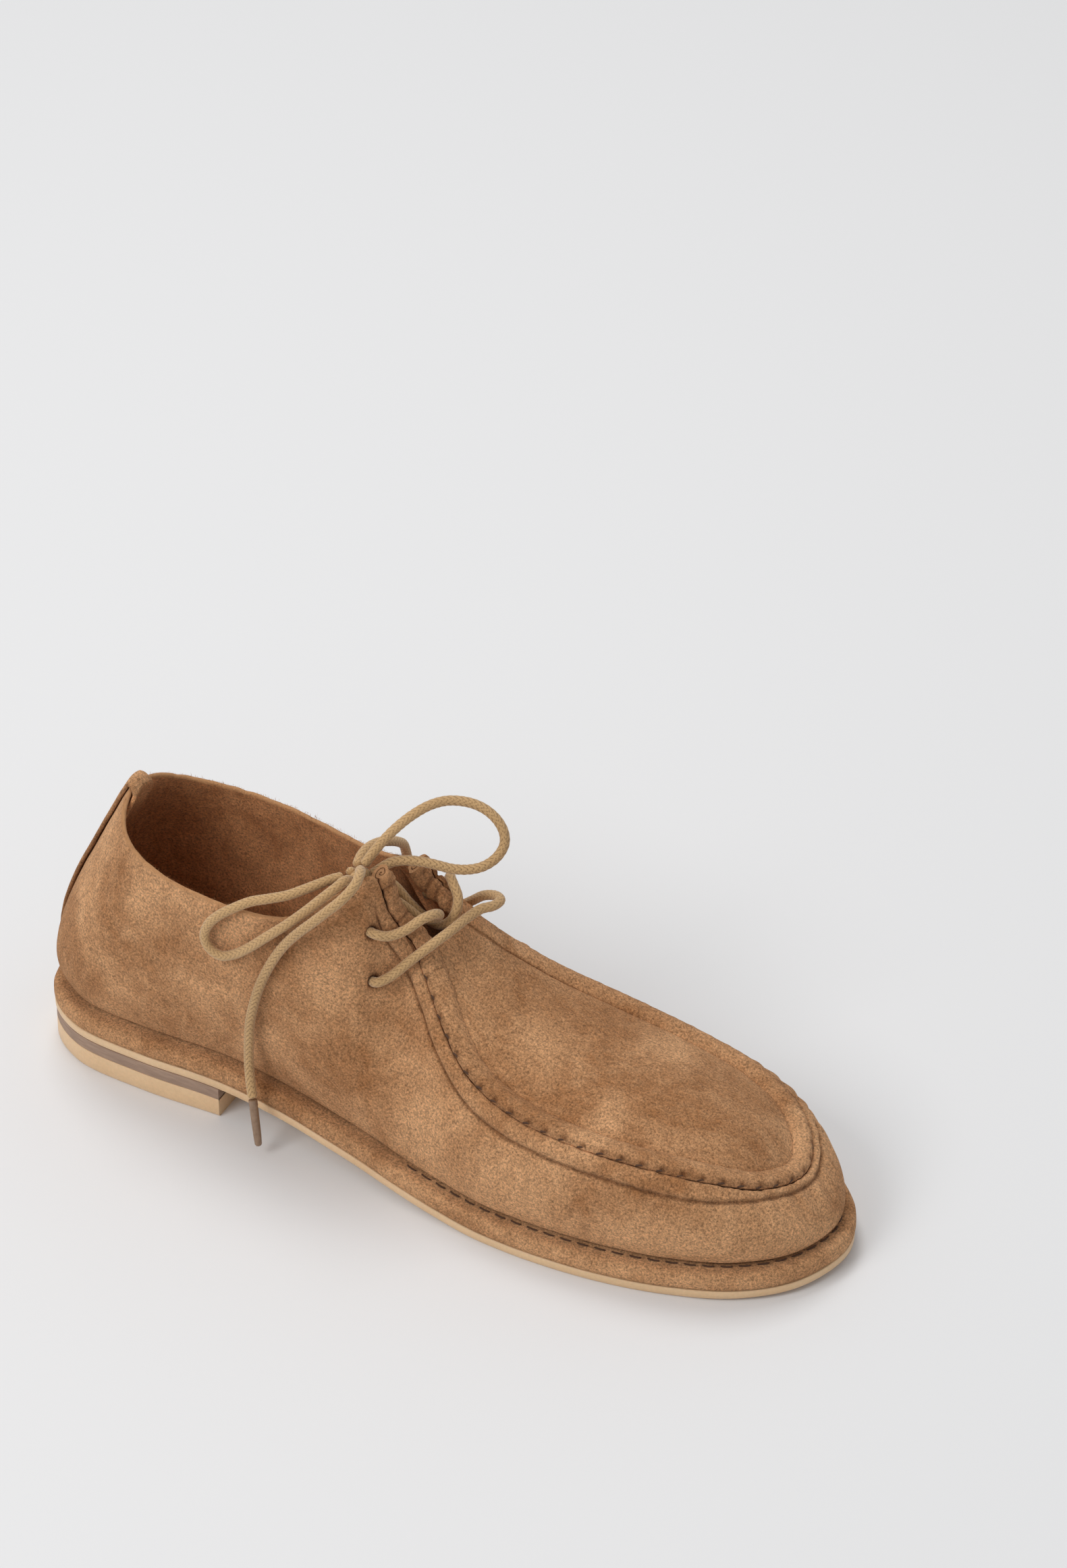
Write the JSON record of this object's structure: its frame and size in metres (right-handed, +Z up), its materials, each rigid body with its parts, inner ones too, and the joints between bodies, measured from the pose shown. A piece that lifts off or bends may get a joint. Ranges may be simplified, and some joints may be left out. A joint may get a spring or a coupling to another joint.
{
  "type": "lace-up moccasin",
  "caption": "Right-foot suede lace-up moccasin with a hand-sewn apron, rolled facings, a tied round lace and a suede-wrapped platform on a low stacked heel.",
  "frame": {"origin": "on the floor, under the middle of the shoe's outline, leaving out the free lace ends", "axes": "+X to the toe, +Y to the inner (medial) side, +Z up"},
  "size_m": [0.3007, 0.1014, 0.1277],
  "materials": {
    "suede": "napped",
    "lining_leather": "matt",
    "sole_rubber": "satin",
    "leatherboard": "pressed",
    "cork": "granular",
    "steel": "bright",
    "dark_thread": "waxed",
    "light_thread": "waxed",
    "lace": "braided",
    "aglet": "satin"
  },
  "bodies": {
    "shoe": {"heel_nail_1": "steel", "heel_nail_2": "steel", "heel_nail_3": "steel", "heel_nail_4": "steel", "heel_nail_5": "steel", "heel_top_piece": "sole_rubber", "heel_lift": "leatherboard", "outsole": "sole_rubber", "platform_core": "leatherboard", "platform_wrap": "suede", "shank": "steel", "cork_filler": "cork", "insole_board": "leatherboard", "sock_lining": "lining_leather", "outer_quarter_and_toe": "suede", "inner_quarter": "suede", "toe_puff": "leatherboard", "backstay": "suede", "apron_rib": "suede", "apron": "suede", "facing_roll_lateral": "suede", "facing_roll_medial": "suede", "apron_thread": "dark_thread", "welt_thread": "dark_thread", "medial_seam_thread": "light_thread", "lace_knot": "lace", "lace_bar_lower": "lace", "lace_strand_lateral": "lace", "lace_strand_medial": "lace"},
    "tongue": {"tongue": "suede"},
    "lateral_loop": {"lace_loop_lateral": "lace"},
    "medial_loop": {"lace_loop_medial": "lace"},
    "lateral_tail": {"lace_tail_lateral": "lace", "aglet_lateral": "aglet"},
    "medial_tail": {"lace_tail_medial": "lace", "aglet_medial": "aglet"}
  },
  "joints": [
    {"name": "tongue_hinge", "type": "hinge", "parent": "shoe", "child": "tongue", "pos_m": [-0.0043, 0.0001, 0.073], "axis": [0, -1, 0], "range_deg": [0, 18], "stiffness_Nm_per_rad": 0.05},
    {"name": "lateral_loop_lift", "type": "hinge", "parent": "shoe", "child": "lateral_loop", "pos_m": [-0.0285, -0.012, 0.1058], "axis": [-0.751, 0.4306, -0.5007], "range_deg": [0, 20]},
    {"name": "medial_loop_lift", "type": "hinge", "parent": "shoe", "child": "medial_loop", "pos_m": [-0.0285, -0.012, 0.1058], "axis": [0.6222, -0.7828, 0], "range_deg": [0, 40]},
    {"name": "lateral_tail_swing", "type": "hinge", "parent": "shoe", "child": "lateral_tail", "pos_m": [-0.0285, -0.012, 0.1058], "axis": [-0.867, 0.4983, 0], "range_deg": [0, 15]},
    {"name": "medial_tail_swing", "type": "hinge", "parent": "shoe", "child": "medial_tail", "pos_m": [-0.0285, -0.012, 0.1058], "axis": [1, 0, 0], "range_deg": [0, 25]}
  ]
}
